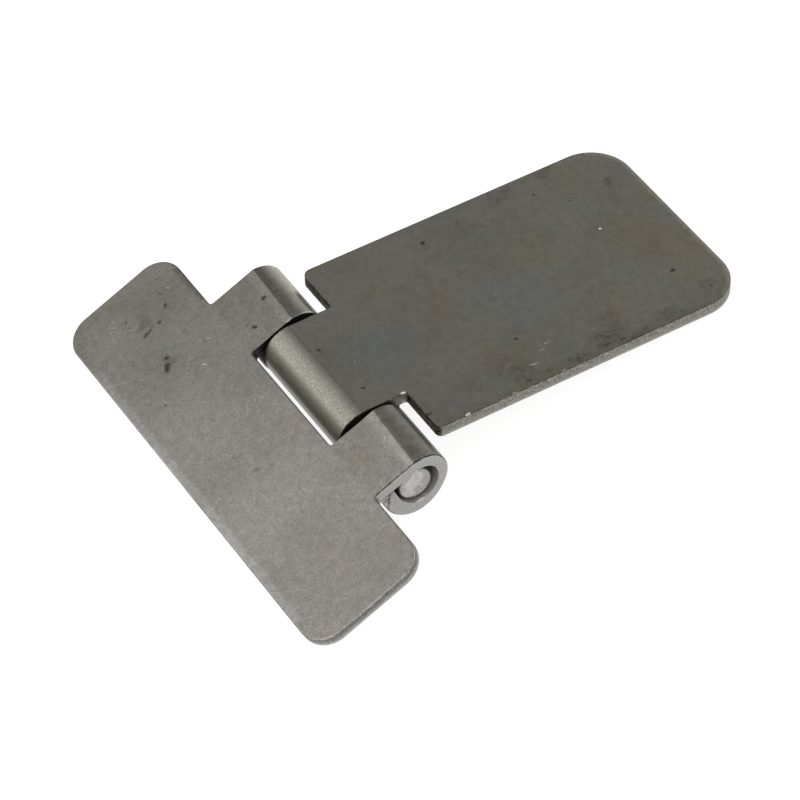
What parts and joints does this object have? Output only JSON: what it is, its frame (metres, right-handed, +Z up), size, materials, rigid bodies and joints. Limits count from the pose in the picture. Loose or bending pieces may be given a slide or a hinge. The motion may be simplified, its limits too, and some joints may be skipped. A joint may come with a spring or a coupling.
{
  "type": "tee hinge",
  "caption": "Weld-on steel tee hinge: a wide cross leaf and a round-cornered strap leaf, with rolled knuckles that turn on a plain pin set back inside them.",
  "frame": {"origin": "on the table, below the middle of the hinge's box, as it lies with its knuckles down", "axes": "+X along the strap leaf, away from the cross leaf; +Y along the pin; +Z up from the table"},
  "size_m": [0.128, 0.11, 0.0157],
  "materials": {
    "cross_leaf": "bare pickled steel, satin, fine handling scratches",
    "strap_leaf": "bare hot-rolled steel with grey mill scale and light oil stains",
    "hinge_pin": "bare drawn steel, cropped ends"
  },
  "bodies": {
    "cross": {"cross_leaf": "cross_leaf", "hinge_pin": "hinge_pin"},
    "strap": {"strap_leaf": "strap_leaf"}
  },
  "joints": [
    {"name": "leaf_swing", "type": "hinge", "parent": "cross", "child": "strap", "pos_m": [-0.0253, 0, 0.00744], "axis": [0, 1, 0], "range_deg": [-122, 167]}
  ]
}
